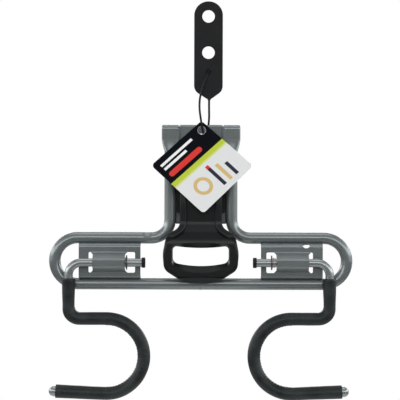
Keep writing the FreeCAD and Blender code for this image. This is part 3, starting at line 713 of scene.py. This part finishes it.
# Card tag
# Coated card, 0.5 mm thick, printed on the front with a black head, a lime stripe and a pale field
# of simple shapes, bare on the back, and hung by one corner.
card = Finish("card", Specular_IOR_Level=0.03)
tag_left = Vector((-0.0472, -0.0362))
tag_head = Vector((0.0003, 0.0065))
tag_foot = Vector((0.0023, -0.0814))
tag_hole = Vector((0.0006, -0.0026))
tag_hole_y = -0.0093
tag_lean = math.radians(8.4)
tag_front = -0.00024
ink_spread = 0.0025
paper_white = (0.70, 0.71, 0.71, 1)
bright_white = (0.82, 0.82, 0.82, 1)
header_black = (0.0032, 0.0042, 0.0065, 1)
lime = (0.47, 0.56, 0.055, 1)
pale_lime = (0.62, 0.66, 0.28, 1)
signal_red = (0.64, 0.045, 0.038, 1)
slate = (0.030, 0.028, 0.050, 1)
tan = (0.61, 0.44, 0.185, 1)
card_place = card.place()
card_x = card.across(card_place, "X")
card_y = card.across(card_place, "Y")
card_z = card.across(card_place, "Z")


def card_share(start, end, other):
    """A spot's distance from the side start to other, as a share of the distance of end from it."""
    side_line = other - start
    level = Vector((-side_line.y, side_line.x))
    level = level / level.dot(end - start)
    return (card_x - start.x) * level.x + (card_z - start.y) * level.y


def soft_step(value, edge):
    """0 below an edge and 1 above it, with the slight spread of printing ink."""
    return card.ramp(value, edge - ink_spread, edge + ink_spread)


def printed_bar(u_low, u_high, v_low, v_high):
    """1 inside a box of the print and 0 outside."""
    inside_u = soft_step(print_u, u_low) * (1 - soft_step(print_u, u_high))
    return inside_u * soft_step(print_v, v_low) * (1 - soft_step(print_v, v_high))


def printed_disc(u, v, radius):
    """1 inside a disc of the print and 0 outside."""
    across_u = print_u - u
    across_v = print_v - v
    return 1 - soft_step(card.maths("SQRT", across_u * across_u + across_v * across_v), radius)


print_u = card_share(tag_left, tag_head, tag_foot)
print_v = card_share(tag_left, tag_foot, tag_head)
ink = paper_white
for lower_edge, colour in ((0.478, pale_lime), (0.455, lime), (0.385, header_black)):
    ink = card.blend(1 - soft_step(print_v, lower_edge), ink, colour)
for shape, colour in (
        (printed_bar(0.12, 0.66, 0.245, 0.325), signal_red),
        (printed_disc(0.12, 0.285, 0.040), signal_red),
        (printed_disc(0.66, 0.285, 0.040), signal_red),
        (printed_bar(0.09, 0.70, 0.085, 0.123), bright_white),
        (printed_bar(0.09, 0.52, 0.155, 0.193), bright_white),
        (printed_disc(0.30, 0.71, 0.135) - printed_disc(0.30, 0.71, 0.085), tan),
        (printed_bar(0.52, 0.575, 0.53, 0.90), slate),
        (printed_bar(0.64, 0.695, 0.60, 0.90), tan),
        (printed_bar(0.76, 0.815, 0.67, 0.90), slate),
        (printed_bar(0.52, 0.575, 0.53, 0.575), signal_red)):
    ink = card.blend(shape, ink, colour)

hole_rim = (0.0039, 0.0041)
rim_wear = 0.7
hole_x = card_x - tag_hole.x
hole_z = card_z - tag_hole.y
hole_distance = card.maths("SQRT", hole_x * hole_x + hole_z * hole_z)
ink = card.blend((1 - card.ramp(hole_distance, *hole_rim)) * rim_wear, ink, paper_white)
tag_normal = Vector((math.cos(tag_lean), -math.sin(tag_lean)))
card_depth = (card_y - tag_hole_y) * tag_normal.x + (card_z - tag_hole.y) * tag_normal.y
printed_side = card_depth < tag_front
fibre = card.grain(scale=900.0, detail=3.0)
card.drive(
    Base_Color=card.blend(printed_side, paper_white, ink),
    Roughness=0.42 + fibre * 0.10,
    Normal=card.bump(fibre, depth=0.000012))
paint_node("hang_tag", card)


# Floor and light
# A pale floor under the hook, and a pale room with one soft lamp above the viewer. A broad low band
# of light in the room draws the bright line along the round bars, and a fainter one lies above it.
# For all rays but the camera's the floor is paler near the hook than far from it where the hook's
# gloss mirrors it: a painted pool of light near the hook and painted shade farther out.
floor_drop = 0.12
floor_size = 6.0
floor_back = 0.8
floor_z = cad_low[2] - floor_drop
floor_mesh = bpy.data.meshes.new("floor")
floor_mesh.from_pydata([(-floor_size, -floor_size, floor_z), (floor_size, -floor_size, floor_z),
                        (floor_size, floor_back, floor_z), (-floor_size, floor_back, floor_z)],
                       [], [(0, 1, 2, 3)])
floor = in_scene("floor", floor_mesh)
floor_white = (0.85, 0.85, 0.85, 1)
# Painted light near the hook and painted shade beyond it, seen on the floor only in reflections.
floor_painted_light = (0.82, 0.82, 0.82, 1)
floor_painted_shade = (0.20, 0.20, 0.20, 1)
near_reach = 0.14
far_reach = 0.30
reach_centre = (0.0, 0.0, 0.0)
reach_stretch = (0.6, 1.0, 0.0)
# Other rays see painted light on the floor near the hook and painted shade beyond it.
floor_paint = Finish("floor_white", Roughness=0.9, Specular_IOR_Level=0.1)
floor_seen = floor_paint.node("LightPath", (), (), "Is Camera Ray")
painted_shade_share = floor_paint.ramp(floor_paint.reach(reach_centre, reach_stretch), near_reach, far_reach)
floor_painted_light_and_shade = floor_paint.blend(painted_shade_share, floor_painted_light, floor_painted_shade)
floor_paint.drive(Base_Color=floor_paint.blend(floor_seen, floor_painted_light_and_shade, floor_white))
floor_mesh.materials.append(floor_paint.material)

lamp_place = Vector((0.0, -1.2, 1.0))
lamp_aim = Vector((0.0, 0.0, -0.09))
lamp_width = 1.2
lamp_height = 0.7
lamp_power = 5.0
lamp_data = bpy.data.lights.new("lamp_front", "AREA")
lamp_data.shape = "RECTANGLE"
lamp_data.size = lamp_width
lamp_data.size_y = lamp_height
lamp_data.energy = lamp_power
lamp = in_scene("lamp_front", lamp_data)
lamp.location = lamp_place
lamp.rotation_euler = (lamp_aim - lamp_place).to_track_quat("-Z", "Y").to_euler()
lamp.visible_camera = False
lamp.visible_glossy = False

room_level = 0.22
low_band = 2.5
high_band = 0.32
ceiling_level = 1.4
side_level = 1.0
background_white = 1.0
world = bpy.data.worlds.new("room")
world.use_nodes = True
bpy.context.scene.world = world
room = Nodes(world.node_tree)
way = room.node("TexCoord")
way_side = room.maths("ABSOLUTE", room.across(way, "X"))
way_z = room.across(way, "Z")
bands = (room.band(way_z, low=0.19, high=0.42, soft=0.05) * low_band
         + room.band(way_z, low=0.50, high=0.76, soft=0.06) * high_band)
ceiling = room.ramp(way_z, low=0.87, high=0.97, end=ceiling_level)
level_rays = 1 - room.maths("ABSOLUTE", way_z)
sides = room.ramp(way_side, low=0.45, high=0.95, end=side_level) * level_rays
camera_ray = room.node("LightPath", (), (), "Is Camera Ray")
light = room.mix(camera_ray, room_level + bands + ceiling + sides, background_white)
background = world.node_tree.nodes["Background"]
background.inputs["Color"].default_value = (1, 1, 1, 1)
world.node_tree.links.new(light.socket, background.inputs["Strength"])
